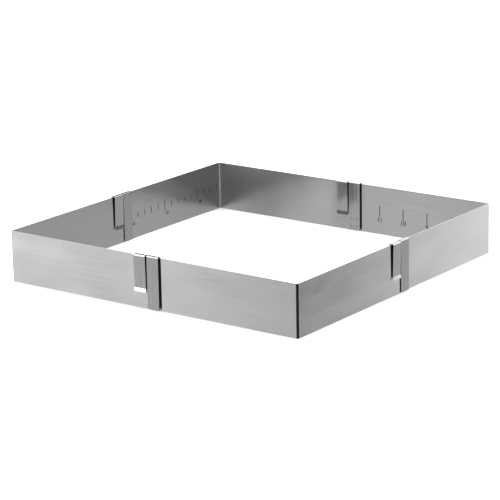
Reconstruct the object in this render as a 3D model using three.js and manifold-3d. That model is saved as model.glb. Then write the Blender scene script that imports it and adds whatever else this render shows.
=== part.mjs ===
// Adjustable square cake frame of sheet steel, in millimetres, +Z up.
// Four equal corner angles lie round the frame like a pinwheel: each has an outer arm on one
// wall and an inner arm on the next, and the arms of neighbouring corners slide past each other.
// Every arm end carries a folded spring clip that goes over the top of both sheets.
// The origin is the bottom centre of the frame, set to the largest size on its scale.

import * as THREE from 'three';
import { mergeVertices } from 'three/addons/utils/BufferGeometryUtils.js';
import Module from 'manifold-3d';

const wasm = await Module();
wasm.setup();

// Frame and sheet
const frameSize = 300;
const wallHeight = 45;
const sheetThickness = 0.8;
const slideClearance = 0.35;
const bendInnerRadius = 1;
const armEndBottomRadius = 4;
const armEndTopRadius = 0.9;

// Spring clips
const clipWidth = 12;
const clipEndGap = 1.2;
const clipPlate = 0.5;
const clipSeatGap = 0.25;
const clipFoldGap = 0.1;
const bandFoldRadius = 0.6;
const tongueFoldRadius = 1;
const clipFootGap = 0.4;
const tongueLengthShare = 0.69;
const tongueTopStandOff = 1.5;
const tonguePressGap = 0.65;
const tongueHeelRadius = 1.5;
const lipLength = 3.2;
const lipFlare = 0.55;

// Weld spots below the tongue, as shares of the band's free height
const weldSpotRadius = 0.8;
const weldSpotDepth = 0.15;
const weldSpotSpacing = 6;
const weldSpotHeightShares = [0.34, 0.84];

// Engraved size scales on the inner face of the outer arms
const centimetreStep = 10;
const inchStep = 25.4;
const marksPerLongMark = 5;
const markCornerMargin = 4;
const markWidth = 0.6;
const markDepth = 0.1;
const markHeightShare = 0.467;
const shortMarkLength = 5;
const longMarkLength = 10;
const inchMarkLength = 10;

// Roundness of the facets
const bendSegments = 8;
const foldSegments = 5;
const spotSegments = 10;
const cutOverrun = 1;
const quarterTurn = Math.PI / 2;

// Sizes that follow from the ones above
const bendOuterRadius = bendInnerRadius + sheetThickness;
const layerStep = sheetThickness + slideClearance;
const stackThickness = layerStep + sheetThickness;
const armLength = (frameSize + clipEndGap) / 2 + clipWidth;
const clipStart = armLength - clipWidth;
const tongueLength = wallHeight * tongueLengthShare;

// The corners in order round the frame, with the scale that each outer arm carries
const corners = [
  { name: 'front_left', scale: 'inch' },
  { name: 'front_right', scale: 'centimetre' },
  { name: 'back_right', scale: 'inch' },
  { name: 'back_left', scale: 'centimetre' },
];

// Rigid turns that stand an outline's plane (x, y) upright, with y as height
const uprightFacingX = new THREE.Matrix4().makeBasis(
  new THREE.Vector3(0, 1, 0),
  new THREE.Vector3(0, 0, 1),
  new THREE.Vector3(1, 0, 0),
);
const uprightFacingY = new THREE.Matrix4().makeBasis(
  new THREE.Vector3(-1, 0, 0),
  new THREE.Vector3(0, 0, 1),
  new THREE.Vector3(0, 1, 0),
);

function toSolid(geometry) {
  const plain = geometry.clone();
  plain.deleteAttribute('normal');
  plain.deleteAttribute('uv');
  const merged = mergeVertices(plain);
  return new wasm.Manifold(new wasm.Mesh({
    numProp: 3,
    vertProperties: new Float32Array(merged.attributes.position.array),
    triVerts: new Uint32Array(merged.index.array),
  }));
}

function toGeometry(solid) {
  const mesh = solid.getMesh();
  const geometry = new THREE.BufferGeometry();
  geometry.setAttribute('position', new THREE.BufferAttribute(new Float32Array(mesh.vertProperties), 3));
  geometry.setIndex(new THREE.BufferAttribute(new Uint32Array(mesh.triVerts), 1));
  const faceted = geometry.toNonIndexed();
  faceted.computeVertexNormals();
  return faceted;
}

function cutAll(geometry, cutters) {
  let solid = toSolid(geometry);
  for (const cutter of cutters) {
    solid = solid.subtract(toSolid(cutter));
  }
  return toGeometry(solid);
}

function extrude(shape, depth) {
  return new THREE.ExtrudeGeometry(shape, { depth, bevelEnabled: false, curveSegments: bendSegments });
}

// Plan outline of a corner angle: the outer arm lies along +X on the line y = 0, and the inner
// arm along +Y one layer further in.
function cornerOutline() {
  const bendX = layerStep + bendOuterRadius;
  const shape = new THREE.Shape();
  shape.moveTo(armLength, 0);
  shape.lineTo(armLength, sheetThickness);
  shape.lineTo(bendX, sheetThickness);
  shape.absarc(bendX, bendOuterRadius, bendInnerRadius, -quarterTurn, -2 * quarterTurn, true);
  shape.lineTo(stackThickness, armLength);
  shape.lineTo(layerStep, armLength);
  shape.lineTo(layerStep, bendOuterRadius);
  shape.absarc(bendX, bendOuterRadius, bendOuterRadius, 2 * quarterTurn, 3 * quarterTurn, false);
  shape.closePath();
  return shape;
}

// A bar as thick as the whole wall that leaves a round corner at an arm's end. Its outline has
// the distance along the arm as x and the height as y, with rise +1 for a bottom corner.
function armEndCutter(radius, edgeHeight, rise) {
  const shape = new THREE.Shape();
  const insideX = armLength - radius;
  const insideY = edgeHeight + rise * radius;
  const farX = armLength + cutOverrun;
  const farY = edgeHeight - rise * cutOverrun;
  shape.moveTo(insideX, farY);
  shape.lineTo(insideX, edgeHeight);
  shape.absarc(insideX, insideY, radius, -rise * quarterTurn, 0, rise < 0);
  shape.lineTo(farX, insideY);
  shape.lineTo(farX, farY);
  shape.closePath();
  return extrude(shape, stackThickness + 2 * cutOverrun);
}

// The four cutters that round the ends of both arms of a corner angle
function armEndCutters() {
  const cutters = [];
  const roundings = [
    { radius: armEndBottomRadius, edgeHeight: 0, rise: 1 },
    { radius: armEndTopRadius, edgeHeight: wallHeight, rise: -1 },
  ];
  for (const { radius, edgeHeight, rise } of roundings) {
    const forOuterArm = armEndCutter(radius, edgeHeight, rise);
    forOuterArm.rotateX(quarterTurn);
    forOuterArm.translate(0, stackThickness + cutOverrun, 0);
    const forInnerArm = armEndCutter(radius, edgeHeight, rise);
    forInnerArm.applyMatrix4(uprightFacingX);
    forInnerArm.translate(-cutOverrun, 0, 0);
    cutters.push(forOuterArm, forInnerArm);
  }
  return cutters;
}

function markCutter(distance, length) {
  const mark = new THREE.BoxGeometry(markWidth, 2 * markDepth, length);
  mark.translate(distance, sheetThickness, wallHeight * markHeightShare);
  return mark;
}

// A mark for a frame size lies where the sliding arm's end stands at that size
function markDistance(size) {
  return size - armLength;
}

function centimetreMarks() {
  const marks = [];
  const largest = Math.floor(frameSize / centimetreStep);
  for (let count = largest; markDistance(count * centimetreStep) > markCornerMargin; count -= 1) {
    const long = count % marksPerLongMark === 0;
    marks.push(markCutter(markDistance(count * centimetreStep), long ? longMarkLength : shortMarkLength));
  }
  return marks;
}

function inchMarks() {
  const marks = [];
  const largest = Math.floor(frameSize / inchStep);
  for (let count = largest; markDistance(count * inchStep) > markCornerMargin; count -= 1) {
    marks.push(markCutter(markDistance(count * inchStep), inchMarkLength));
  }
  return marks;
}

function cornerAngleGeometry(scale) {
  const marks = scale === 'inch' ? inchMarks() : centimetreMarks();
  return cutAll(extrude(cornerOutline(), wallHeight), [...armEndCutters(), ...marks]);
}

// Points along a chain of straight runs whose inner corners are rounded to their own radii
function roundedPath(knots) {
  const path = [knots[0].point];
  for (let i = 1; i < knots.length - 1; i += 1) {
    const { point, radius } = knots[i];
    const toward = knots[i - 1].point.clone().sub(point).normalize();
    const away = knots[i + 1].point.clone().sub(point).normalize();
    const halfAngle = Math.acos(toward.dot(away)) / 2;
    const reach = radius / Math.tan(halfAngle);
    const start = point.clone().addScaledVector(toward, reach);
    const centreDirection = toward.clone().add(away).normalize();
    const centre = point.clone().addScaledVector(centreDirection, radius / Math.sin(halfAngle));
    const side = Math.sign(away.cross(toward));
    const turn = side * (Math.PI - 2 * halfAngle);
    for (let step = 0; step <= foldSegments; step += 1) {
      path.push(start.clone().rotateAround(centre, (turn * step) / foldSegments));
    }
  }
  path.push(knots[knots.length - 1].point);
  return path;
}

// Closed outline of a plate of even thickness that follows a path along its middle
function plateOutline(path, thickness) {
  const left = [];
  const right = [];
  path.forEach((point, i) => {
    const before = path[Math.max(i - 1, 0)];
    const after = path[Math.min(i + 1, path.length - 1)];
    const incoming = (i === 0 ? after.clone().sub(point) : point.clone().sub(before)).normalize();
    const outgoing = (i === path.length - 1 ? incoming : after.clone().sub(point)).clone().normalize();
    const along = incoming.clone().add(outgoing).normalize();
    const reach = thickness / 2 / along.dot(incoming);
    const normal = new THREE.Vector2(-along.y, along.x);
    left.push(point.clone().addScaledVector(normal, reach));
    right.push(point.clone().addScaledVector(normal, -reach));
  });
  return new THREE.Shape([...right, ...left.reverse()]);
}

// Middle line of a spring clip seen from the arm's end. x runs through the wall from the face
// that carries the clip's band, which is x = 0, and y is the height.
function clipPath() {
  const bandX = -clipSeatGap - clipPlate / 2;
  const foldY = wallHeight + clipFoldGap + clipPlate / 2;
  const shoulderX = stackThickness + tongueTopStandOff - clipPlate / 2;
  const heelX = stackThickness + tonguePressGap + clipPlate / 2;
  const tipY = wallHeight - tongueLength;
  return roundedPath([
    { point: new THREE.Vector2(bandX, clipFootGap) },
    { point: new THREE.Vector2(bandX, foldY), radius: bandFoldRadius },
    { point: new THREE.Vector2(shoulderX, foldY), radius: tongueFoldRadius },
    { point: new THREE.Vector2(heelX, tipY + lipLength), radius: tongueHeelRadius },
    { point: new THREE.Vector2(heelX + lipFlare, tipY) },
  ]);
}

function weldSpotCutters() {
  const spots = [];
  const freeHeight = wallHeight - tongueLength;
  for (const heightShare of weldSpotHeightShares) {
    for (const side of [-1, 1]) {
      const spot = new THREE.CylinderGeometry(weldSpotRadius, weldSpotRadius, 2 * weldSpotDepth, spotSegments);
      spot.rotateZ(quarterTurn);
      spot.translate(
        -clipSeatGap - clipPlate,
        freeHeight * heightShare,
        (clipWidth + side * weldSpotSpacing) / 2,
      );
      spots.push(spot);
    }
  }
  return spots;
}

function springClipGeometry() {
  const plate = new THREE.ExtrudeGeometry(plateOutline(clipPath(), clipPlate), {
    depth: clipWidth,
    bevelEnabled: false,
  });
  return cutAll(plate, weldSpotCutters());
}

function wallSteel() {
  return new THREE.MeshStandardMaterial({ color: 0xc2c3c4, roughness: 0.38, metalness: 1 });
}

function springSteel() {
  return new THREE.MeshStandardMaterial({ color: 0xb4b5b7, roughness: 0.2, metalness: 1 });
}

function namedMesh(name, geometry, material) {
  const mesh = new THREE.Mesh(geometry, material);
  mesh.name = name;
  return mesh;
}

// Clip on the outer arm: its band lies on the outer face and its tongue inside the frame
function outerClip(name, geometry) {
  const clip = namedMesh(name, geometry.clone().applyMatrix4(uprightFacingX), springSteel());
  clip.position.set(clipStart, 0, 0);
  return clip;
}

// Clip on the inner arm: its band lies on the inner face and its tongue outside the frame
function innerClip(name, geometry) {
  const clip = namedMesh(name, geometry.clone().applyMatrix4(uprightFacingY), springSteel());
  clip.position.set(stackThickness, clipStart, 0);
  return clip;
}

const cakeFrame = new THREE.Group();
const clipGeometry = springClipGeometry();
corners.forEach(({ name, scale }, index) => {
  const turned = new THREE.Group();
  turned.rotation.z = index * quarterTurn;
  const corner = new THREE.Group();
  corner.position.set(-frameSize / 2, -frameSize / 2, 0);
  corner.add(
    namedMesh(`${name}_corner_angle`, cornerAngleGeometry(scale), wallSteel()),
    outerClip(`${name}_outer_clip`, clipGeometry),
    innerClip(`${name}_inner_clip`, clipGeometry),
  );
  turned.add(corner);
  cakeFrame.add(turned);
});

export default cakeFrame;
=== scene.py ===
"""Dresses an adjustable cake frame of stainless sheet: corner angles, spring clips and scales."""

import bpy
import numpy as np
from bpy.props import FloatProperty, FloatVectorProperty, IntProperty, PointerProperty
from mathutils import Matrix, Vector


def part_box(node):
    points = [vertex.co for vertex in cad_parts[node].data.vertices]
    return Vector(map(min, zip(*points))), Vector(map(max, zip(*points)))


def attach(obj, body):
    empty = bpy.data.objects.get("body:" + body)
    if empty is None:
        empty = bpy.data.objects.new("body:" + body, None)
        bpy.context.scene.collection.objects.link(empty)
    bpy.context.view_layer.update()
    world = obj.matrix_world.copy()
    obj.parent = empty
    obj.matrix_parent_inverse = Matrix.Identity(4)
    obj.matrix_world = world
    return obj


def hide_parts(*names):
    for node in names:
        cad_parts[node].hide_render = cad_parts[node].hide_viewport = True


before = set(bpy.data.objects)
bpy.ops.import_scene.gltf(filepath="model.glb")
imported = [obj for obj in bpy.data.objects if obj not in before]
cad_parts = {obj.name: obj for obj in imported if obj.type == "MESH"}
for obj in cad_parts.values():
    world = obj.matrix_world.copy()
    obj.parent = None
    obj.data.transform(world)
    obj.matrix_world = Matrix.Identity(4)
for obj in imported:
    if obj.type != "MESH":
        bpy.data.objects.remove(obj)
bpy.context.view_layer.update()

bl_info = {
    "name": "Adjustable cake frame",
    "version": (1, 0, 0),
    "blender": (4, 5, 0),
    "location": "View3D > Sidebar > Cake Frame",
    "description": "Makes the sheet, spring clips, scales and stage of an adjustable cake frame",
    "category": "Add Mesh",
}

MM = 0.001
CORNERS = ("front_left", "front_right", "back_right", "back_left")
INCH_CORNERS = ("front_left", "back_right")
FIRST_LOW, FIRST_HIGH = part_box("front_left_corner_angle")
HALF_SIZE = -FIRST_LOW.y
WALL_HEIGHT = FIRST_HIGH.z
ARM_LENGTH = FIRST_HIGH.x + HALF_SIZE
LAYER_STEP = FIRST_LOW.x + HALF_SIZE
CLIP_LOW, CLIP_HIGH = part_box("front_left_outer_clip")
CLIP_START = CLIP_LOW.x + HALF_SIZE
CLIP_WIDTH = CLIP_HIGH.x - CLIP_LOW.x
QUARTER = np.pi / 2


def linear(hex_colour):
    """Linear RGBA of an sRGB colour written as #rrggbb."""
    srgb = np.array([int(hex_colour[i:i + 2], 16) for i in (1, 3, 5)]) / 255
    low, high = srgb / 12.92, ((srgb + 0.055) / 1.055) ** 2.4
    return (*np.where(srgb <= 0.04045, low, high).tolist(), 1.0)


class SheetSettings(bpy.types.PropertyGroup):
    """Sizes and colour of the wall sheet."""

    thickness: FloatProperty(
        name="Sheet thickness", description="Gauge of the wall sheet",
        default=0.8 * MM, unit="LENGTH", precision=5)
    bend_radius: FloatProperty(
        name="Bend radius", description="Outer radius of the bend in a corner angle",
        default=1.8 * MM, unit="LENGTH", precision=5)
    bottom_rounding: FloatProperty(
        name="Lower end rounding", description="Radius of the lower corner at an arm's end",
        default=4.0 * MM, unit="LENGTH", precision=5)
    top_rounding: FloatProperty(
        name="Upper end rounding", description="Radius of the upper corner at an arm's end",
        default=0.9 * MM, unit="LENGTH", precision=5)
    edge_rounding: FloatProperty(
        name="Edge rounding", description="Width of the rubbed edge along the sheared rim",
        default=0.12 * MM, unit="LENGTH", precision=5)
    colour: FloatVectorProperty(
        name="Sheet colour", description="Reflected colour of the satin sheet",
        default=linear("#cbcbcb")[:3], size=3, subtype="COLOR", min=0, max=1)
    # Painted shade: the arms' ends and the strips' side edges get this nearly black colour in place
    # of the shade in the gaps beside them.
    end_colour: FloatVectorProperty(
        name="Arm end colour", description="Reflected colour of the arms' laser-cut ends",
        default=linear("#3a3b3e")[:3], size=3, subtype="COLOR", min=0, max=1)
    rim_colour: FloatVectorProperty(
        name="Rim colour", description="Reflected colour of the sheared upper and lower rims",
        default=linear("#b4b5b6")[:3], size=3, subtype="COLOR", min=0, max=1)
    roughness: FloatProperty(
        name="Sheet roughness", description="Mean roughness of the satin finish",
        default=0.175, subtype="FACTOR", min=0, max=1)
    grain_strength: FloatProperty(
        name="Grain strength", description="How much more the grain blurs across than along",
        default=0.95, subtype="FACTOR", min=0, max=1)


class ClipSettings(bpy.types.PropertyGroup):
    """Sizes and colour of the spring clips."""

    plate: FloatProperty(
        name="Clip plate", description="Gauge of the spring strip",
        default=0.5 * MM, unit="LENGTH", precision=5)
    seat_gap: FloatProperty(
        name="Seat gap", description="Gap between a clip's band and its own arm",
        default=0.25 * MM, unit="LENGTH", precision=5)
    fold_gap: FloatProperty(
        name="Fold gap", description="Gap between the fold and the wall's top edge",
        default=0.1 * MM, unit="LENGTH", precision=5)
    foot_gap: FloatProperty(
        name="Foot gap", description="Height of the band's foot over the table",
        default=0.4 * MM, unit="LENGTH", precision=5)
    band_radius: FloatProperty(
        name="Band fold radius", description="Middle radius of the fold above the band",
        default=0.6 * MM, unit="LENGTH", precision=5)
    tongue_radius: FloatProperty(
        name="Tongue fold radius", description="Middle radius of the fold above the tongue",
        default=1.0 * MM, unit="LENGTH", precision=5)
    stand_off: FloatProperty(
        name="Tongue stand-off", description="How far the tongue's top stands off the wall",
        default=1.5 * MM, unit="LENGTH", precision=5)
    press_gap: FloatProperty(
        name="Press gap", description="Gap between the tongue's heel and the sliding arm",
        default=0.45 * MM, unit="LENGTH", precision=5)
    heel_radius: FloatProperty(
        name="Heel radius", description="Middle radius of the bend above the lip",
        default=1.5 * MM, unit="LENGTH", precision=5)
    tongue_share: FloatProperty(
        name="Tongue length share", description="Tongue length as a share of the wall height",
        default=0.69, subtype="FACTOR", min=0.3, max=0.9)
    lip_length: FloatProperty(
        name="Lip length", description="Height of the flared lip",
        default=3.2 * MM, unit="LENGTH", precision=5)
    lip_flare: FloatProperty(
        name="Lip flare", description="How far the lip's tip stands off its heel",
        default=0.75 * MM, unit="LENGTH", precision=5)
    edge_rounding: FloatProperty(
        name="Strip edge rounding", description="Width of the rubbed edge along the strip's rim",
        default=0.08 * MM, unit="LENGTH", precision=5)
    corner_rounding: FloatProperty(
        name="Clip corner rounding", description="Radius of the strip's four corners",
        default=0.8 * MM, unit="LENGTH", precision=5)
    weld_radius: FloatProperty(
        name="Weld spot radius", description="Radius of the dimple that a spot weld leaves",
        default=0.95 * MM, unit="LENGTH", precision=5)
    weld_depth: FloatProperty(
        name="Weld spot depth", description="Depth of the dimple that a spot weld leaves",
        default=0.15 * MM, unit="LENGTH", precision=5)
    weld_spacing: FloatProperty(
        name="Weld spacing", description="Distance between two welds side by side",
        default=6.0 * MM, unit="LENGTH", precision=5)
    weld_colour: FloatVectorProperty(
        name="Weld colour", description="Reflected colour of a weld's dimple",
        default=linear("#8c8c90")[:3], size=3, subtype="COLOR", min=0, max=1)
    weld_roughness: FloatProperty(
        name="Weld roughness", description="Roughness of a weld's dimple",
        default=0.3, subtype="FACTOR", min=0, max=1)
    colour: FloatVectorProperty(
        name="Clip colour", description="Reflected colour of the bright spring strip",
        default=linear("#bfc0c1")[:3], size=3, subtype="COLOR", min=0, max=1)
    roughness: FloatProperty(
        name="Clip roughness", description="Mean roughness of the bright strip",
        default=0.1, subtype="FACTOR", min=0, max=1)


class ScaleSettings(bpy.types.PropertyGroup):
    """Sizes and colour of the etched scales."""

    step: FloatProperty(
        name="Centimetre step", description="Distance between two marks of the centimetre scale",
        default=10.0 * MM, unit="LENGTH", precision=5)
    inch: FloatProperty(
        name="Inch step", description="Distance between two marks of the inch scale",
        default=25.4 * MM, unit="LENGTH", precision=5)
    per_long: IntProperty(
        name="Marks per long mark", description="Every so many centimetre marks one is long",
        default=5, min=1)
    corner_margin: FloatProperty(
        name="Corner margin", description="Room kept free of marks beside the corner",
        default=4.0 * MM, unit="LENGTH", precision=5)
    height_share: FloatProperty(
        name="Mark height share", description="Height of the marks' middle as a share of the wall",
        default=0.475, subtype="FACTOR", min=0, max=1)
    width: FloatProperty(
        name="Mark width", description="Width of a mark's line",
        default=0.8 * MM, unit="LENGTH", precision=5)
    short_length: FloatProperty(
        name="Short mark", description="Length of a short centimetre mark",
        default=5.0 * MM, unit="LENGTH", precision=5)
    long_length: FloatProperty(
        name="Long mark", description="Length of a long mark",
        default=10.4 * MM, unit="LENGTH", precision=5)
    inch_digit: FloatProperty(
        name="Inch digit height", description="Height of the numbers on the inch scale",
        default=4.3 * MM, unit="LENGTH", precision=5)
    centimetre_digit: FloatProperty(
        name="Centimetre digit height", description="Height of the numbers on the centimetre scale",
        default=3.0 * MM, unit="LENGTH", precision=5)
    digit_drop: FloatProperty(
        name="Digit drop", description="How far the numbers' middle lies under the marks' middle",
        default=8.0 * MM, unit="LENGTH", precision=5)
    centimetre_shift: FloatProperty(
        name="Centimetre digit shift",
        description="How far a number lies from its mark, towards the corner",
        default=3.6 * MM, unit="LENGTH", precision=5)
    relief: FloatProperty(
        name="Mark relief", description="Thickness of the oxide layer that shows as a mark",
        default=0.02 * MM, unit="LENGTH", precision=6)
    colour: FloatVectorProperty(
        name="Mark colour", description="Colour of the etched oxide",
        default=linear("#2a2b2d")[:3], size=3, subtype="COLOR", min=0, max=1)


class StageSettings(bpy.types.PropertyGroup):
    """Floor and light of the stage."""

    floor_size: FloatProperty(
        name="Floor size", description="Side of the floor", default=14.0, unit="LENGTH")
    floor_colour: FloatVectorProperty(
        name="Floor colour", description="Colour of the matt floor",
        default=linear("#f4f4f4")[:3], size=3, subtype="COLOR", min=0, max=1)
    lamp_power: FloatProperty(
        name="Softbox power", description="Power of the overhead softbox in watts", default=100.0)
    sky_level: FloatProperty(
        name="Ceiling level", description="Brightness of the white ceiling and upper walls",
        default=0.75)
    room_level: FloatProperty(
        name="Room level", description="Scale of the brightness around the stage", default=1.0)
    # Painted reflection: brightness of the glowing card that stands in for the left wall's mirror
    # image.
    mirrored_level: FloatProperty(
        name="Mirrored wall level",
        description="Brightness of the left wall's mirror image in the polished table", default=0.5)


# Brightness of the room around the stage by compass direction, in degrees from +X towards +Y, at
# most 31 entries a table. ROOM is what lies below the horizon: the lit table at the left and the
# right rear, with narrow unlit gaps. SKY is what stands just above the horizon: pale screens and
# a dark rear wall.
ROOM = (
    (-180, 0.9), (-150, 1.2), (-138, 1.1), (-133.5, 0.74), (-130, 0.77), (-127, 0.77),
    (-125.4, 0.64), (-124.6, 0.3), (-124, 0.5), (-123.2, 1.05), (-122.4, 0.82), (-120.2, 0.68),
    (-113, 0.1), (-100, 0.5), (-66, 0.5), (-54.9, 0.42), (-53.8, 0.11), (-52.7, 0.13),
    (-51, 0.26), (-42, 0.5), (36, 0.5), (42, 0.04), (46.5, 0.56), (49.3, 0.44), (50.5, 0.58),
    (52.6, 0.9), (53.4, 0.1), (54.8, 0.0), (56.2, 0.26), (57, 0.88), (62, 1.2))
SKY = (
    (-180, 1.0), (-160, 1.5), (-145, 4.0), (-129, 4.0), (-126.6, 2.8), (-125.4, 1.5),
    (-124.2, 0.06), (-112, 0.05), (-100, 0.3), (-66, 0.3), (-60, 0.05), (-48, 0.05), (-42, 0.3),
    (36, 0.3), (44, 0.05), (53.2, 0.05), (54.2, 2.0), (57.5, 3.0), (62, 3.0), (75, 1.5),
    (118, 1.5), (124, 1.0), (126.5, 0.1), (150, 0.1))

# Heights in the room: the Z of a direction of length 1, so 0 at the horizon and -1 straight down.
TABLE_FAR, TABLE_NEAR = -0.1, -0.34
TABLE_FAR_TONE, TABLE_NEAR_TONE = 0.6, 1.1
HORIZON = (-0.12, -0.04)
CEILING = (0.45, 0.7)
# Shaded band of the table, which the smooth clips mirror and the satin walls blur away. It lies at
# the front up to FRONT_END and at the right from RIGHT_START, in degrees, and the table beside it
# is brighter. The tones are for the front and for the right.
SHADE_HEIGHT, SHADE_CORE, SHADE_REACH = -0.305, 0.055, 0.085
FRONT_END = (-126.0, -125.46)
RIGHT_START = (54.18, 54.72)
SHADE_TONES = (0.84, 0.7)
BESIDE_TONES = (1.15, 1.62)

# Painted reflection of the left wall, a glowing card seen only in reflections: its end near the
# camera, the line from which its tone grows with the distance, that growth, and the darker part
# before the wall's joint.
CARD_NEAR = -97 * MM
CARD_LINE, CARD_REACH = 66 * MM, 100 * MM
CARD_TONES = (0.8, 1.3)
CARD_JOINT = (-56 * MM, -48 * MM)
CARD_DARK_TONE = 0.46

# Camera fitted to the edges of the four walls, and the overhead softbox
CAMERA_TARGET = Vector((-15.92, 14.571, 9.107)) * MM
CAMERA_AZIMUTH, CAMERA_ELEVATION, CAMERA_ROLL = np.radians(36.407), np.radians(15.588), -0.017665
CAMERA_DISTANCE, CAMERA_REACH = 1942.0 * MM, 100.0
CAMERA_LENS, CAMERA_SENSOR = 158.227, 36.0
SOFTBOX_PLACE, SOFTBOX_SIDE = (-0.2, 0.3, 2.2), 2.4

# Lengths of the noises' features along X, Y and Z, in mm. For the sheet, 150 mm over a length,
# over its half or over its quarter isn't a whole number, so no wall lies on the noise's grid.
SHEET_GRAIN = (34, 34, 0.4)
SHEET_CLOUDS = (70, 70, 25)
SHEET_STREAKS = (28.1, 28.1, 1.4)
STRIP_GRAIN = (0.5, 0.5, 18)
STRIP_STREAKS = (1.2, 1.2, 60)
EDGE_LINES = (0.4, 0.4, 0.4)
OXIDE_GRAIN = (0.25, 0.25, 0.25)
BOARD_MOTTLE = (60, 60, 60)

# The values that a noise mostly takes, the depth of a grain, how much more |x| + |y| is than at the
# bend's start where the painted shade on its outside begins and where it is fully dark, the tone of
# that painted shade, and the numbers of a mix node's two inputs and its output for each kind of
# data.
NOISE_RANGE = (0.3, 0.7)
GRAIN_DEPTH = 0.01 * MM
BEND_START, BEND_FULL, BEND_SHADE_TONE = 0.15 * MM, 0.35 * MM, 0.06
MIX_SOCKETS = {"FLOAT": (2, 3, 0), "RGBA": (6, 7, 2)}

# Points along the parts of a corner angle's grid, and the decimals at which they merge
LOW_END_POINTS, TOP_END_POINTS, BEND_POINTS, RUN_POINTS, HEIGHT_POINTS = 17, 9, 25, 64, 13
ALONG_DECIMALS = 8

# Clips: points across the strip, steps along its straight runs and, in radians, along its arcs,
# the least number of points in a run and in an arc, and the welds' heights as shares of the height
# of the tongue's tip.
CLIP_COLUMNS = 37
PROFILE_STEP, ARC_STEP = 0.35 * MM, 0.12
LEAST_RUN_POINTS, LEAST_ARC_POINTS = 2, 3
WELD_HEIGHT_SHARES = np.array([0.34, 0.84])

# Rounded edges: the segments across one, and the least angle that counts as an edge
ROUND_SEGMENTS, SHARP_ANGLE = 3, np.radians(50)

# Numbers: a digit's height and how much its strokes are thickened, as shares of the font's size
# and of the digit's height, the smoothness of its curves, and the decimals at which points merge.
DIGIT_HEIGHT_SHARE, DIGIT_BOLD_SHARE = 0.7, 0.02
DIGIT_SMOOTHNESS, MERGE_DECIMALS = 4, 7
ONE_QUAD = np.array([(0, 1, 2, 3)])


def add_node(tree, kind, settings=None, inputs=None):
    """Adds a shader node, sets its properties, and sets or links its inputs by name or number."""
    made = tree.nodes.new(kind)
    for key, value in (settings or {}).items():
        setattr(made, key, value)
    for key, value in (inputs or {}).items():
        if isinstance(value, bpy.types.NodeSocket):
            tree.links.new(value, made.inputs[key])
        else:
            made.inputs[key].default_value = value
    return made


def new_material(name):
    """A node material with no nodes yet, and its tree."""
    material = bpy.data.materials.new(name)
    material.use_nodes = True
    material.node_tree.nodes.clear()
    return material, material.node_tree


def finish_material(material, inputs, kind="ShaderNodeBsdfPrincipled"):
    """Gives a material its one shader, with the given inputs, and its output."""
    tree = material.node_tree
    shader = add_node(tree, kind, {}, inputs)
    output = add_node(tree, "ShaderNodeOutputMaterial")
    tree.links.new(shader.outputs[0], output.inputs["Surface"])
    return material


def coordinates(tree, name):
    """Texture coordinates of the given name."""
    return add_node(tree, "ShaderNodeTexCoord").outputs[name]


def axes(tree, vector):
    """The parts of a vector, as outputs named X, Y and Z."""
    return add_node(tree, "ShaderNodeSeparateXYZ", {}, {"Vector": vector}).outputs


def calculate(tree, operation, *values):
    """Result of a math node on one or two values."""
    made = add_node(tree, "ShaderNodeMath", {"operation": operation}, dict(enumerate(values)))
    return made.outputs["Value"]


def scaled_vector(tree, vector, factor):
    """A vector or a colour times a factor."""
    made = add_node(
        tree, "ShaderNodeVectorMath", {"operation": "SCALE"}, {0: vector, "Scale": factor})
    return made.outputs["Vector"]


def blend(tree, kind, factor, first, second):
    """Mix of two numbers or two colours: the first at a factor of 0, the second at 1."""
    low, high, result = MIX_SOCKETS[kind]
    made = add_node(
        tree, "ShaderNodeMix", {"data_type": kind}, {"Factor": factor, low: first, high: second})
    return made.outputs[result]


def stretched_noise(tree, lengths, detail, roughness=0.5):
    """Noise on Object coordinates whose features have the given lengths along X, Y and Z in mm."""
    scaled = add_node(
        tree, "ShaderNodeMapping", {"vector_type": "POINT"},
        {"Vector": coordinates(tree, "Object"), "Scale": [1 / (MM * length) for length in lengths]})
    noise = add_node(
        tree, "ShaderNodeTexNoise", {"noise_dimensions": "3D"},
        {"Vector": scaled.outputs["Vector"], "Scale": 1.0, "Detail": detail,
         "Roughness": roughness})
    return noise.outputs["Fac"]


def remap(tree, value, low, high, to_low, to_high):
    """Linear map of a value from one range to another, clamped."""
    mapped = add_node(
        tree, "ShaderNodeMapRange", {"clamp": True},
        {"Value": value, "From Min": low, "From Max": high, "To Min": to_low, "To Max": to_high})
    return mapped.outputs["Result"]


def vary(tree, noise, low, high):
    """Values from low to high that follow a noise."""
    return remap(tree, noise, *NOISE_RANGE, low, high)


def grain_normal(tree, noise, strength):
    """Normal of a surface that a fine grain roughens."""
    made = add_node(
        tree, "ShaderNodeBump", {},
        {"Height": noise, "Strength": strength, "Distance": GRAIN_DEPTH})
    return made.outputs["Normal"]


def bend_outside(tree, settings):
    """Painted shade of the sheet: a tone of 1 on its flat faces and its inside, and the dark shade
    tone on the bend's outside, where |x| + |y| is more than the frame size less the step between
    the arms and the bend's radius."""
    place = axes(tree, coordinates(tree, "Object"))
    total = calculate(tree, "ADD", *[calculate(tree, "ABSOLUTE", place[axis]) for axis in "XY"])
    edge = 2 * HALF_SIZE - LAYER_STEP - settings.bend_radius
    return remap(tree, total, edge + BEND_START, edge + BEND_FULL, 1.0, BEND_SHADE_TONE)


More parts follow.
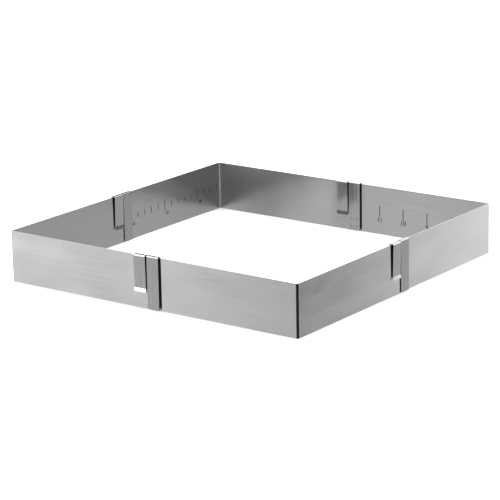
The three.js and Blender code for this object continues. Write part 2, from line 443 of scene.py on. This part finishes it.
def satin_sheet_material(settings):
    """Stainless steel sheet, cold rolled and lightly brushed along its length.

    The fine grain runs along the wall and blurs reflections upwards and downwards far more than
    sideways, so the walls look evenly satin but keep soft upright edges of light and dark.
    The grain is about 0.1 mm wide on a real sheet and is drawn 0.4 mm wide here so that it shows.
    Streaks about 1.4 mm wide and 28 mm long vary the tone by a few hundredths, as brushed sheet
    does. The outside of the bend is darkened nearly to black as painted shade.
    """
    material, tree = new_material("satin_stainless_sheet")
    grain = stretched_noise(tree, SHEET_GRAIN, detail=2.0)
    clouds = stretched_noise(tree, SHEET_CLOUDS, detail=2.0)
    rough = calculate(
        tree, "ADD",
        vary(tree, grain, low=settings.roughness - 0.01, high=settings.roughness + 0.01),
        vary(tree, clouds, low=-0.02, high=0.02))
    streaks = stretched_noise(tree, SHEET_STREAKS, detail=3.0, roughness=0.6)
    # tone: the random streaks times the painted shade that darkens the bend's outside
    tone = calculate(
        tree, "MULTIPLY", vary(tree, streaks, low=0.967, high=1.033), bend_outside(tree, settings))
    face = add_node(tree, "ShaderNodeNewGeometry")
    grain_way = add_node(
        tree, "ShaderNodeVectorMath", {"operation": "CROSS_PRODUCT"},
        {0: face.outputs["Normal"], 1: (0.0, 0.0, 1.0)})
    return finish_material(material, {
        "Base Color": scaled_vector(tree, settings.colour, tone), "Metallic": 1.0,
        "Roughness": rough, "Anisotropic": settings.grain_strength, "Anisotropic Rotation": 0.25,
        "Tangent": grain_way.outputs["Vector"], "Normal": grain_normal(tree, grain, strength=0.25)})


def spring_strip_material(settings):
    """Stainless spring strip, bright rolled.

    Rolled smooth, so it mirrors its surroundings with a slight blur. Rolling lines run along the
    strip, upright here, and the spot welds leave darker, rougher dimples.
    """
    material, tree = new_material("bright_spring_strip")
    grain = stretched_noise(tree, STRIP_GRAIN, detail=2.0)
    smooth = vary(tree, grain, low=settings.roughness - 0.04, high=settings.roughness + 0.04)
    streaks = stretched_noise(tree, STRIP_STREAKS, detail=2.0)
    strip = scaled_vector(tree, settings.colour, vary(tree, streaks, low=0.94, high=1.05))
    weld = add_node(tree, "ShaderNodeAttribute", {"attribute_name": "weld"}).outputs["Fac"]
    return finish_material(material, {
        "Base Color": blend(tree, "RGBA", weld, strip, (*settings.weld_colour, 1.0)),
        "Metallic": 1.0, "Roughness": blend(tree, "FLOAT", weld, smooth, settings.weld_roughness),
        "Normal": grain_normal(tree, grain, strength=0.08)})


def cut_edge_material(settings):
    """Cut edges of stainless sheet, matt with fine cross lines: the faces that point sideways, the
    arms' ends and the strips' side edges, are painted nearly black as painted shade of the gaps
    beside them, and the upper and lower rims, which face up and down, are sheared and lighter."""
    material, tree = new_material("cut_edge_painted_shade")
    lines = stretched_noise(tree, EDGE_LINES, detail=2.0)
    face = add_node(tree, "ShaderNodeNewGeometry")
    # Faces that point sideways get the painted shade colour, the ones facing up and down the rim
    # colour.
    upright = calculate(tree, "ABSOLUTE", axes(tree, face.outputs["True Normal"])["Z"])
    colour = blend(
        tree, "RGBA", upright, (*settings.end_colour, 1.0), (*settings.rim_colour, 1.0))
    return finish_material(material, {
        "Base Color": colour, "Metallic": 1.0, "Roughness": vary(tree, lines, low=0.4, high=0.55),
        "Normal": grain_normal(tree, lines, strength=0.3)})


def etched_mark_material(settings):
    """Electro-etched mark on stainless steel: a dark grey oxide, matt and slightly grainy."""
    material, tree = new_material("etched_oxide_mark")
    grain = stretched_noise(tree, OXIDE_GRAIN, detail=2.0)
    return finish_material(material, {
        "Base Color": (*settings.colour, 1.0), "Metallic": 0.5,
        "Roughness": vary(tree, grain, low=0.5, high=0.7)})


def matt_floor_material(settings):
    """Matt white laminate board: nearly even, with a faint mottle."""
    material, tree = new_material("matt_white_board")
    mottle = stretched_noise(tree, BOARD_MOTTLE, detail=3.0)
    return finish_material(material, {
        "Base Color": (*settings.floor_colour, 1.0), "Specular IOR Level": 0.2,
        "Roughness": vary(tree, mottle, low=0.75, high=0.85)})


def place_in_corner(points, index):
    """Moves points from a corner's own axes, with the outer arm along +X and the inner arm along
    +Y, to that corner of the frame: a shift by half the frame size and quarter turns about Z."""
    shifted = points - np.array([HALF_SIZE, HALF_SIZE, 0.0])
    cosine, sine = ((1, 0), (0, 1), (-1, 0), (0, -1))[index]
    x, y, z = np.moveaxis(shifted, -1, 0)
    return np.stack([cosine * x - sine * y, sine * x + cosine * y, z], axis=-1)


def grid_faces(rows, columns):
    """Corner numbers of the quads of a grid whose points are stored row by row."""
    first = np.arange(rows - 1)[:, None] * columns + np.arange(columns - 1)[None, :]
    quads = np.stack([first, first + 1, first + columns + 1, first + columns], axis=-1)
    return quads.reshape(-1, 4)


def new_mesh_object(name, points, faces):
    """Mesh object from point and face arrays, with every face of the same number of corners."""
    mesh = bpy.data.meshes.new(name)
    count, corners = faces.shape
    mesh.vertices.add(len(points))
    mesh.vertices.foreach_set("co", points.astype(np.float32).ravel())
    mesh.loops.add(count * corners)
    mesh.loops.foreach_set("vertex_index", faces.astype(np.int32).ravel())
    mesh.polygons.add(count)
    mesh.polygons.foreach_set("loop_start", np.arange(count, dtype=np.int32) * corners)
    mesh.polygons.foreach_set("use_smooth", np.ones(count, bool))
    mesh.update(calc_edges=True)
    mesh.validate()
    made = bpy.data.objects.new(name, mesh)
    bpy.context.scene.collection.objects.link(made)
    return made


def finish_plate(made, thickness, edge_rounding, materials):
    """Gives a surface its gauge, equally to both sides, and rounds the edges of its rim."""
    for material in materials:
        made.data.materials.append(material)
    solidify = made.modifiers.new("gauge", "SOLIDIFY")
    solidify.thickness = thickness
    solidify.offset = 0.0
    solidify.use_even_offset = True
    solidify.use_quality_normals = True
    solidify.material_offset_rim = len(materials) - 1
    bevel = made.modifiers.new("rubbed_edge", "BEVEL")
    bevel.width = edge_rounding
    bevel.segments = ROUND_SEGMENTS
    bevel.limit_method = "ANGLE"
    bevel.angle_limit = SHARP_ANGLE
    bevel.harden_normals = True


def end_rounding(distance, radius):
    """Inset of a rounded corner at a distance from the end: radius - sqrt(radius² - (radius -
    distance)²) inside the radius, and none beyond it."""
    inside = np.clip(radius - distance, 0, radius)
    return radius - np.sqrt(radius ** 2 - inside ** 2)


def arm_line(settings, distance):
    """Plan of the middle of a corner angle at a distance along it from the outer arm's end.

    A straight run towards the corner, a quarter circle of the bend's middle radius, and a
    straight run away from it along the inner arm. Also gives where the bend starts and ends.
    """
    radius = settings.bend_radius - settings.thickness / 2
    bend_x = LAYER_STEP + settings.bend_radius
    first = ARM_LENGTH - bend_x
    second = first + radius * QUARTER
    turn = np.clip((distance - first) / radius, 0, QUARTER)
    before = np.clip(first - distance, 0, None)
    after = np.clip(distance - second, 0, None)
    x = bend_x - radius * np.sin(turn) + before
    y = settings.bend_radius - radius * np.cos(turn) + after
    return x, y, first, second


def corner_angle_surface(settings):
    """Middle surface of a corner angle as a grid: P(s, t) = plan(s) + height(s, t) upwards.

    The height runs from the lower to the upper edge, and both edges turn in near the arms' ends
    by the rounding of the ends' corners.
    """
    _, _, first, second = arm_line(settings, np.zeros(1))
    total = second + ARM_LENGTH - settings.bend_radius
    near = settings.bottom_rounding * (1 - np.cos(np.linspace(0, QUARTER, LOW_END_POINTS)))
    top = settings.top_rounding * (1 - np.cos(np.linspace(0, QUARTER, TOP_END_POINTS)))
    ends = np.concatenate([near, top, total - near, total - top])
    bend = np.linspace(first, second, BEND_POINTS)
    runs = np.linspace(near[-1], total - near[-1], RUN_POINTS)
    runs = runs[(runs < first - MM) | (runs > second + MM)]
    along = np.unique(np.round(np.concatenate([ends, bend, runs]), ALONG_DECIMALS))
    x, y, _, _ = arm_line(settings, along)
    to_end = np.minimum(along, total - along)
    low = end_rounding(to_end, settings.bottom_rounding)
    high = WALL_HEIGHT - end_rounding(to_end, settings.top_rounding)
    height = low + np.linspace(0, 1, HEIGHT_POINTS)[:, None] * (high - low)
    return np.stack(np.broadcast_arrays(x, y, height), axis=-1)


def straight_run(start, end, step, endpoint):
    """Points about a step apart from one place to another, the last one only if asked for."""
    count = max(int(np.ceil(np.linalg.norm(end - start) / step)), LEAST_RUN_POINTS)
    return start + np.linspace(0, 1, count, endpoint=endpoint)[:, None] * (end - start)


def bent_line(knots, radii, step):
    """Points about a step apart along straight runs through the knots, with each inner knot
    replaced by an arc of its radius that touches both runs."""
    pieces = []
    start = knots[0]
    for before, knot, after, radius in zip(knots, knots[1:], knots[2:], radii):
        toward = (before - knot) / np.linalg.norm(before - knot)
        away = (after - knot) / np.linalg.norm(after - knot)
        half_angle = np.arccos(toward @ away) / 2
        reach = radius / np.tan(half_angle)
        arc_start, arc_end = knot + toward * reach, knot + away * reach
        middle = (toward + away) / np.linalg.norm(toward + away)
        centre = knot + middle * radius / np.sin(half_angle)
        pieces.append(straight_run(start, arc_start, step, endpoint=False))
        turn = np.pi - 2 * half_angle
        count = max(int(np.ceil(turn / ARC_STEP)), LEAST_ARC_POINTS)
        side = np.sign(away[0] * toward[1] - away[1] * toward[0])
        angles = np.linspace(0, side * turn, count, endpoint=False)[:, None]
        spoke = arc_start - centre
        normal = np.array([-spoke[1], spoke[0]])
        pieces.append(centre + np.cos(angles) * spoke + np.sin(angles) * normal)
        start = arc_end
    pieces.append(straight_run(start, knots[-1], step, endpoint=True))
    return np.concatenate(pieces)


def clip_profile(clip, sheet):
    """Middle line of a clip across the wall, from the band's foot over the fold to the lip's tip.

    The first coordinate is the depth behind the face that the band lies on, the second the height.
    """
    stack = LAYER_STEP + sheet.thickness
    band = -clip.seat_gap - clip.plate / 2
    fold = WALL_HEIGHT + clip.fold_gap + clip.plate / 2
    shoulder = stack + clip.stand_off - clip.plate / 2
    heel = stack + clip.press_gap + clip.plate / 2
    tip = WALL_HEIGHT * (1 - clip.tongue_share)
    knots = np.array([
        (band, clip.foot_gap), (band, fold), (shoulder, fold),
        (heel, tip + clip.lip_length), (heel + clip.lip_flare, tip)])
    return bent_line(knots, (clip.band_radius, clip.tongue_radius, clip.heel_radius), PROFILE_STEP)


def clip_surface(clip, sheet):
    """Middle surface of a clip as a grid, and how much each point belongs to a weld spot.

    P(s, w) = profile(s) + w along the arm - dimple(r) times the profile's normal, where the
    dimple is depth (1 - (r / radius)²)² within a weld spot's radius r and none beyond it. The
    strip narrows at both ends by the rounding of its corners.
    """
    profile = clip_profile(clip, sheet)
    steps = np.linalg.norm(np.diff(profile, axis=0), axis=1)
    along = np.concatenate([[0], np.cumsum(steps)])
    to_end = np.minimum(along, along[-1] - along)
    half = CLIP_WIDTH / 2 - end_rounding(to_end, clip.corner_rounding)
    across = np.linspace(-1, 1, CLIP_COLUMNS)[None, :] * half[:, None]
    tangent = np.gradient(profile, axis=0)
    tangent /= np.linalg.norm(tangent, axis=1)[:, None]
    normal = np.stack([-tangent[:, 1], tangent[:, 0]], axis=-1)
    heights = WALL_HEIGHT * (1 - clip.tongue_share) * WELD_HEIGHT_SHARES - clip.foot_gap
    centres = np.array([(h, side * clip.weld_spacing / 2) for h in heights for side in (-1, 1)])
    places = np.stack(np.broadcast_arrays(along[:, None], across), axis=-1)
    distance = np.linalg.norm(places[:, :, None, :] - centres, axis=-1).min(axis=-1)
    weld = np.clip(1 - (distance / clip.weld_radius) ** 2, 0, 1) ** 2
    depth = profile[:, None, 0] - weld * clip.weld_depth * normal[:, None, 0]
    height = profile[:, None, 1] - weld * clip.weld_depth * normal[:, None, 1]
    return depth, across + (CLIP_START + CLIP_WIDTH / 2), height, weld


def grid_object(name, points):
    """Mesh object from a grid of points."""
    rows, columns = points.shape[:2]
    return new_mesh_object(name, points.reshape(-1, 3), grid_faces(rows, columns))


def build_corner_angle(name, index, sheet, materials):
    """Makes the sheet of one corner angle."""
    points = place_in_corner(corner_angle_surface(sheet), index)
    node = f"{name}_corner_angle"
    made = grid_object(f"{name}_sheet", points)
    finish_plate(made, sheet.thickness, sheet.edge_rounding, materials)
    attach(made, name)
    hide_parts(node)


def build_clip(name, index, arm, clip, sheet, materials):
    """Makes the spring clip on one arm's end, with its weld spots as an attribute."""
    depth, along, height, weld = clip_surface(clip, sheet)
    if arm == "outer":
        local = np.stack([along, depth, height], axis=-1)
    else:
        local = np.stack([LAYER_STEP + sheet.thickness - depth, along, height], axis=-1)
    node = f"{name}_{arm}_clip"
    made = grid_object(f"{name}_{arm}_spring", place_in_corner(local, index))
    spots = made.data.attributes.new("weld", "FLOAT", "POINT")
    spots.data.foreach_set("value", weld.astype(np.float32).ravel())
    finish_plate(made, clip.plate, clip.edge_rounding, materials)
    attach(made, name)
    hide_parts(node)


def mark_plates(distances, lengths, height, scale, sheet):
    """Points and faces of upright lines, each a thin closed plate on the outer arm's inner face."""
    corner = np.array([
        (-1, -1, -1), (1, -1, -1), (1, -1, 1), (-1, -1, 1),
        (-1, 1, -1), (1, 1, -1), (1, 1, 1), (-1, 1, 1)]) / 2
    width, relief = np.full_like(distances, scale.width), np.full_like(distances, 2 * scale.relief)
    size = np.stack([width, relief, lengths], axis=-1)
    face, level = np.full_like(distances, sheet.thickness), np.full_like(distances, height)
    middle = np.stack([distances, face, level], axis=-1)
    points = middle[:, None, :] + corner[None, :, :] * size[:, None, :]
    box = np.array([
        (0, 1, 2, 3), (5, 4, 7, 6), (4, 0, 3, 7), (1, 5, 6, 2), (3, 2, 6, 7), (4, 5, 1, 0)])
    faces = box[None, :, :] + len(corner) * np.arange(len(distances))[:, None, None]
    return points.reshape(-1, 3), faces.reshape(-1, 4)


def digit_points(text, size, thickness):
    """Points and triangles of a number set in Blender's own font, centred, its seams closed."""
    curve = bpy.data.curves.new("number", "FONT")
    curve.body = text
    curve.size = size / DIGIT_HEIGHT_SHARE
    curve.align_x = "CENTER"
    curve.align_y = "CENTER"
    curve.resolution_u = DIGIT_SMOOTHNESS
    curve.extrude = thickness
    curve.offset = size * DIGIT_BOLD_SHARE
    holder = bpy.data.objects.new("number", curve)
    mesh = holder.to_mesh()
    mesh.calc_loop_triangles()
    points = np.empty(len(mesh.vertices) * 3, np.float32)
    mesh.vertices.foreach_get("co", points)
    corners = np.empty(len(mesh.loop_triangles) * 3, np.int32)
    mesh.loop_triangles.foreach_get("vertices", corners)
    holder.to_mesh_clear()
    bpy.data.objects.remove(holder)
    bpy.data.curves.remove(curve)
    rounded = np.round(points.reshape(-1, 3), MERGE_DECIMALS)
    merged, places = np.unique(rounded, axis=0, return_inverse=True)
    return merged.astype(float), places.reshape(-1)[corners].reshape(-1, 3)


def scale_numbers(name, scale):
    """Sizes that a corner's scale marks, their labels and the lengths of their marks."""
    if name in INCH_CORNERS:
        counts = np.arange(int(2 * HALF_SIZE / scale.inch), 0, -1)
        sizes = counts * scale.inch
        lengths = np.full(len(counts), scale.long_length)
        labelled = np.ones(len(counts), bool)
    else:
        counts = np.arange(int(round(2 * HALF_SIZE / scale.step)), 0, -1)
        sizes = counts * scale.step
        labelled = counts % scale.per_long == 0
        lengths = np.where(labelled, scale.long_length, scale.short_length)
    keep = sizes - ARM_LENGTH > scale.corner_margin
    return counts[keep], (sizes - ARM_LENGTH)[keep], lengths[keep], labelled[keep]


def build_scale(name, index, scale, sheet, material):
    """Makes the marks and numbers of one corner's scale."""
    counts, distances, lengths, labelled = scale_numbers(name, scale)
    height = WALL_HEIGHT * scale.height_share
    points, quads = mark_plates(distances, lengths, height, scale, sheet)
    inch = name in INCH_CORNERS
    size = scale.inch_digit if inch else scale.centimetre_digit
    shift = 0.0 if inch else scale.centimetre_shift
    all_points = [points]
    triangles = [np.concatenate([quads[:, [0, 1, 2]], quads[:, [0, 2, 3]]])]
    base = len(points)
    for count, distance in zip(counts[labelled], distances[labelled]):
        digits, faces = digit_points(str(count), size, scale.relief)
        all_points.append(np.stack([
            distance - shift - digits[:, 0],
            sheet.thickness + digits[:, 2],
            height - scale.digit_drop + digits[:, 1]], axis=-1))
        triangles.append(faces + base)
        base += len(digits)
    placed = place_in_corner(np.concatenate(all_points), index)
    made = new_mesh_object(f"{name}_scale", placed, np.concatenate(triangles))
    made.data.polygons.foreach_set("use_smooth", np.zeros(len(made.data.polygons), bool))
    made.data.materials.append(material)
    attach(made, name)


class CAKEFRAME_OT_corner_angles(bpy.types.Operator):
    """Makes the sheet of every corner angle"""

    bl_idname = "cakeframe.corner_angles"
    bl_label = "Corner angles"

    def execute(self, context):
        sheet = context.scene.cake_sheet
        materials = [satin_sheet_material(sheet), cut_edge_material(sheet)]
        for index, name in enumerate(CORNERS):
            build_corner_angle(name, index, sheet, materials)
        return {"FINISHED"}


class CAKEFRAME_OT_spring_clips(bpy.types.Operator):
    """Makes the spring clip at every arm's end"""

    bl_idname = "cakeframe.spring_clips"
    bl_label = "Spring clips"

    def execute(self, context):
        clip, sheet = context.scene.cake_clip, context.scene.cake_sheet
        # The strips' side edges take the edge material and with it the painted shade.
        materials = [spring_strip_material(clip), cut_edge_material(sheet)]
        for index, name in enumerate(CORNERS):
            for arm in ("outer", "inner"):
                build_clip(name, index, arm, clip, sheet, materials)
        return {"FINISHED"}


class CAKEFRAME_OT_scales(bpy.types.Operator):
    """Makes the etched size scales on the outer arms"""

    bl_idname = "cakeframe.scales"
    bl_label = "Size scales"

    def execute(self, context):
        scale = context.scene.cake_scale
        material = etched_mark_material(scale)
        for index, name in enumerate(CORNERS):
            build_scale(name, index, scale, context.scene.cake_sheet, material)
        return {"FINISHED"}


def aimed_matrix(place, target, roll=0.0):
    """Matrix that looks from a place to a target, turned by a roll about the line of sight."""
    back = (place - target).normalized()
    right = Vector((0, 0, 1)).cross(back).normalized()
    up = back.cross(right)
    side = right * np.cos(roll) + up * np.sin(roll)
    top = up * np.cos(roll) - right * np.sin(roll)
    turn = Matrix((side, top, back)).transposed()
    return Matrix.Translation(place) @ turn.to_4x4()


def add_holder(name, data, matrix):
    """Object that puts a light or a camera in the scene at a matrix."""
    holder = bpy.data.objects.new(name, data)
    holder.matrix_world = matrix
    bpy.context.scene.collection.objects.link(holder)
    return holder


def add_softbox(stage):
    """Square softbox high over the frame, aimed at its middle."""
    light = bpy.data.lights.new("overhead", "AREA")
    light.shape = "RECTANGLE"
    light.size = light.size_y = SOFTBOX_SIDE
    light.energy = stage.lamp_power
    add_holder("overhead", light, aimed_matrix(Vector(SOFTBOX_PLACE), Vector()))


def add_camera():
    """Camera on a sphere about its target, at an azimuth from -Y towards +X and an elevation."""
    flat = np.cos(CAMERA_ELEVATION)
    back = Vector((
        np.sin(CAMERA_AZIMUTH) * flat, -np.cos(CAMERA_AZIMUTH) * flat, np.sin(CAMERA_ELEVATION)))
    camera = bpy.data.cameras.new("camera")
    camera.sensor_width = CAMERA_SENSOR
    camera.lens = CAMERA_LENS
    camera.clip_end = CAMERA_REACH
    place = CAMERA_TARGET + back * CAMERA_DISTANCE
    return add_holder("camera", camera, aimed_matrix(place, CAMERA_TARGET, CAMERA_ROLL))


def mirrored_wall(stage):
    """Painted reflection: a glowing upright card under the left wall, seen in reflections alone,
    standing in for the wall's mirror image in a polished table, which the stage doesn't have.
    Formula: x =
    -HALF_SIZE, y from CARD_NEAR to the far corner, z from minus the wall's height to 0. Its
    brightness grows with the distance from CARD_LINE, and is least before the wall's joint."""
    corners = np.array([
        (-HALF_SIZE, CARD_NEAR, -WALL_HEIGHT), (-HALF_SIZE, HALF_SIZE, -WALL_HEIGHT),
        (-HALF_SIZE, HALF_SIZE, 0), (-HALF_SIZE, CARD_NEAR, 0)])
    card = new_mesh_object("mirrored_wall", corners, ONE_QUAD)
    material, tree = new_material("grey_glow")
    along = axes(tree, coordinates(tree, "Object"))["Y"]
    distance = calculate(tree, "ABSOLUTE", calculate(tree, "SUBTRACT", along, CARD_LINE))
    beside = remap(tree, distance, 0.0, CARD_REACH, *CARD_TONES)
    joint = remap(tree, along, *CARD_JOINT, 0.0, 1.0)
    tone = blend(tree, "FLOAT", joint, CARD_DARK_TONE, beside)
    level = calculate(tree, "MULTIPLY", tone, stage.mirrored_level)
    card.data.materials.append(
        finish_material(material, {"Strength": level}, "ShaderNodeEmission"))
    card.visible_camera = card.visible_diffuse = card.visible_shadow = False


def compass_share(degrees):
    """What the radial gradient gives in a compass direction: 0 at -180 degrees and 1 at 180."""
    return degrees / 360 + 0.5


def compass_ramp(tree, compass, table, peak):
    """Colour ramp of grey levels by compass direction, as shares of the peak level."""
    ramp = add_node(tree, "ShaderNodeValToRGB", {}, {"Fac": compass})
    stops = ramp.color_ramp.elements
    stops[0].position, stops[1].position = 0.0, 1.0
    stops[0].color = stops[1].color = (*[table[0][1] / peak] * 3, 1)
    for degrees, level in table[1:]:
        stop = stops.new(compass_share(degrees))
        stop.color = (*[level / peak] * 3, 1)
    return ramp.outputs["Color"]


def side_tone(tree, compass, tones):
    """Tone of the table at the front and at the right, and 1 elsewhere."""
    front = remap(tree, compass, *[compass_share(end) for end in FRONT_END], tones[0], 1.0)
    right = remap(tree, compass, *[compass_share(end) for end in RIGHT_START], 1.0, tones[1])
    return calculate(tree, "MULTIPLY", front, right)


def room_light(stage):
    """World whose brightness goes by compass direction: ROOM below the horizon, dimmer towards it
    and in the shaded band, SKY above it, and an even white ceiling overhead."""
    world = bpy.data.worlds.new("studio_room")
    world.use_nodes = True
    tree = world.node_tree
    tree.nodes.clear()
    way = coordinates(tree, "Generated")
    height = axes(tree, way)["Z"]
    compass = add_node(
        tree, "ShaderNodeTexGradient", {"gradient_type": "RADIAL"}, {"Vector": way}).outputs["Fac"]
    peak = max(level for _, level in ROOM + SKY)
    low, high = [compass_ramp(tree, compass, table, peak) for table in (ROOM, SKY)]
    dimming = remap(tree, height, TABLE_NEAR, TABLE_FAR, TABLE_NEAR_TONE, TABLE_FAR_TONE)
    apart = calculate(tree, "ABSOLUTE", calculate(tree, "SUBTRACT", height, SHADE_HEIGHT))
    shade, beside = [side_tone(tree, compass, tones) for tones in (SHADE_TONES, BESIDE_TONES)]
    shadow = remap(tree, apart, SHADE_CORE, SHADE_REACH, shade, beside)
    table = scaled_vector(tree, low, calculate(tree, "MULTIPLY", dimming, shadow))
    walls = blend(tree, "RGBA", remap(tree, height, *HORIZON, 0.0, 1.0), table, high)
    level = stage.sky_level / peak
    colour = blend(
        tree, "RGBA", remap(tree, height, *CEILING, 0.0, 1.0), walls, (level, level, level, 1))
    light = add_node(
        tree, "ShaderNodeBackground", {},
        {"Color": colour, "Strength": stage.room_level * peak})
    output = add_node(tree, "ShaderNodeOutputWorld")
    tree.links.new(light.outputs["Background"], output.inputs["Surface"])
    return world


class CAKEFRAME_OT_stage(bpy.types.Operator):
    """Makes the floor, the glowing card of painted wall reflection, the softbox, the room light and
    the camera
    """

    bl_idname = "cakeframe.stage"
    bl_label = "Stage"

    def execute(self, context):
        stage = context.scene.cake_stage
        half = stage.floor_size / 2
        corners = np.array([(-half, -half, 0), (half, -half, 0), (half, half, 0), (-half, half, 0)])
        floor = new_mesh_object("floor", corners, ONE_QUAD)
        floor.data.materials.append(matt_floor_material(stage))
        floor.visible_glossy = False
        mirrored_wall(stage)
        add_softbox(stage)
        context.scene.world = room_light(stage)
        context.scene.view_settings.view_transform = "Standard"
        context.scene.camera = add_camera()
        return {"FINISHED"}


class CAKEFRAME_PT_panel(bpy.types.Panel):
    """Lists the pieces of the cake frame"""

    bl_idname = "CAKEFRAME_PT_panel"
    bl_label = "Cake frame"
    bl_space_type = "VIEW_3D"
    bl_region_type = "UI"
    bl_category = "Cake Frame"

    def draw(self, context):
        for step in STEPS:
            self.layout.operator(step.bl_idname)


STEPS = (
    CAKEFRAME_OT_corner_angles,
    CAKEFRAME_OT_spring_clips,
    CAKEFRAME_OT_scales,
    CAKEFRAME_OT_stage,
)
SETTINGS = {
    "cake_sheet": SheetSettings,
    "cake_clip": ClipSettings,
    "cake_scale": ScaleSettings,
    "cake_stage": StageSettings,
}


def register():
    for kind in (*SETTINGS.values(), *STEPS, CAKEFRAME_PT_panel):
        bpy.utils.register_class(kind)
    for name, kind in SETTINGS.items():
        setattr(bpy.types.Scene, name, PointerProperty(type=kind))


def unregister():
    for name in SETTINGS:
        delattr(bpy.types.Scene, name)
    for kind in reversed((*SETTINGS.values(), *STEPS, CAKEFRAME_PT_panel)):
        bpy.utils.unregister_class(kind)


def main():
    """Makes every piece and the stage."""
    register()
    bpy.ops.cakeframe.corner_angles()
    bpy.ops.cakeframe.spring_clips()
    bpy.ops.cakeframe.scales()
    bpy.ops.cakeframe.stage()


if __name__ == "__main__":
    main()
